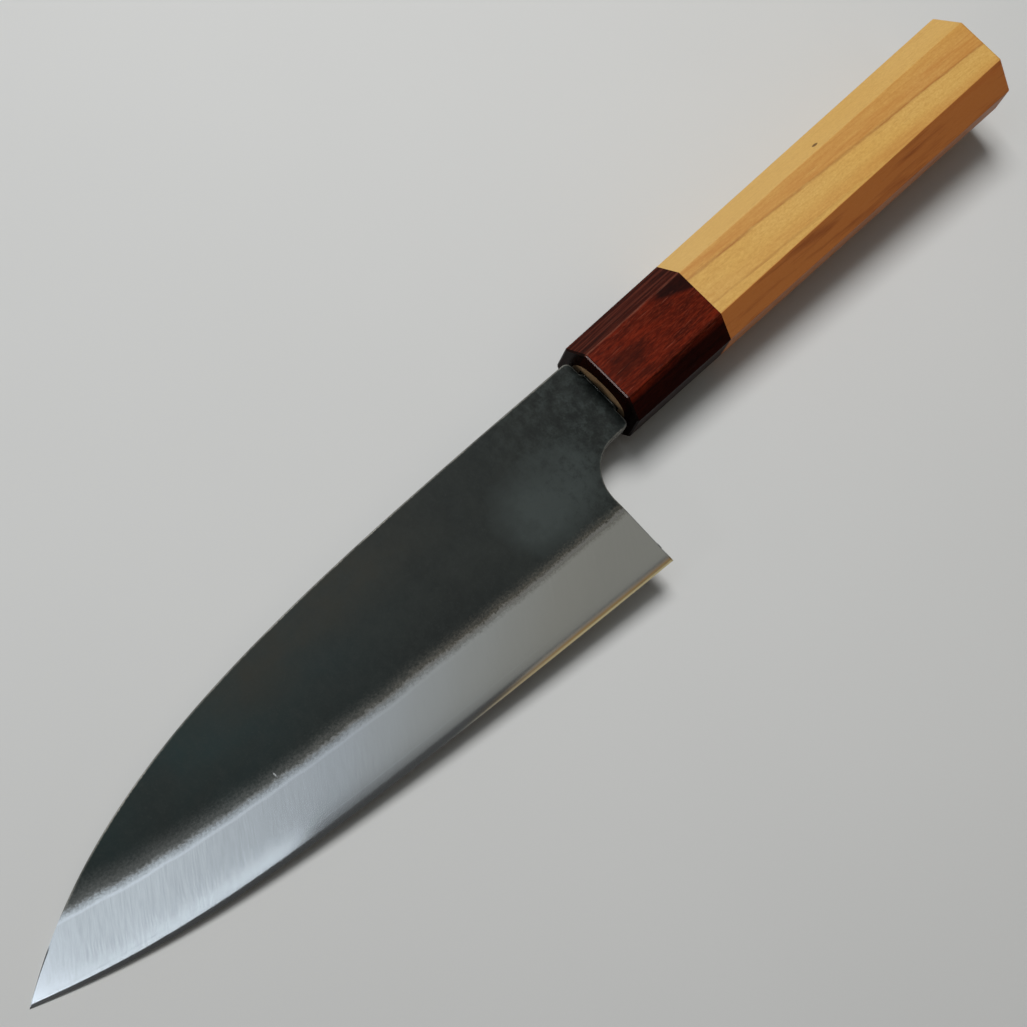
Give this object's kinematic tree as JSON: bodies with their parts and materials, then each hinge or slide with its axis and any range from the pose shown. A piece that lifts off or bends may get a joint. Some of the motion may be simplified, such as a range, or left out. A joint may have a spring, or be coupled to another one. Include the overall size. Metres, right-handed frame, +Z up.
{
  "type": "kitchen knife",
  "caption": "Small fish-and-vegetable knife: dark forged blade with a bright ground bevel, finger notch and pointed tip, on a tapered octagonal wooden handle with a dark ferrule.",
  "frame": {"origin": "on the table, under the middle of the knife's bounding box, with the knife lying on its right side as it comes to rest", "axes": "+X from the tip to the butt of the handle, +Y from the edge to the spine, +Z up from the table, towards the left face of the blade"},
  "size_m": [0.3172, 0.0518, 0.027],
  "materials": {
    "core_steel": "fine ground steel, honed along the edge",
    "clad_iron": "black forge scale on the cheeks, ground bright on the bevel",
    "dowel_wood": "plain pale wood, sanded end grain",
    "resin": "set glossy",
    "ferrule_wood": "dense dark red-brown wood, polished",
    "handle_wood": "honey-coloured light wood, sanded smooth, satin"
  },
  "bodies": {
    "root": {"core_steel": "core_steel", "cladding_left": "clad_iron", "cladding_right": "clad_iron", "tang_dowel": "dowel_wood", "tang_resin": "resin", "ferrule": "ferrule_wood", "handle_body": "handle_wood"}
  },
  "joints": []
}
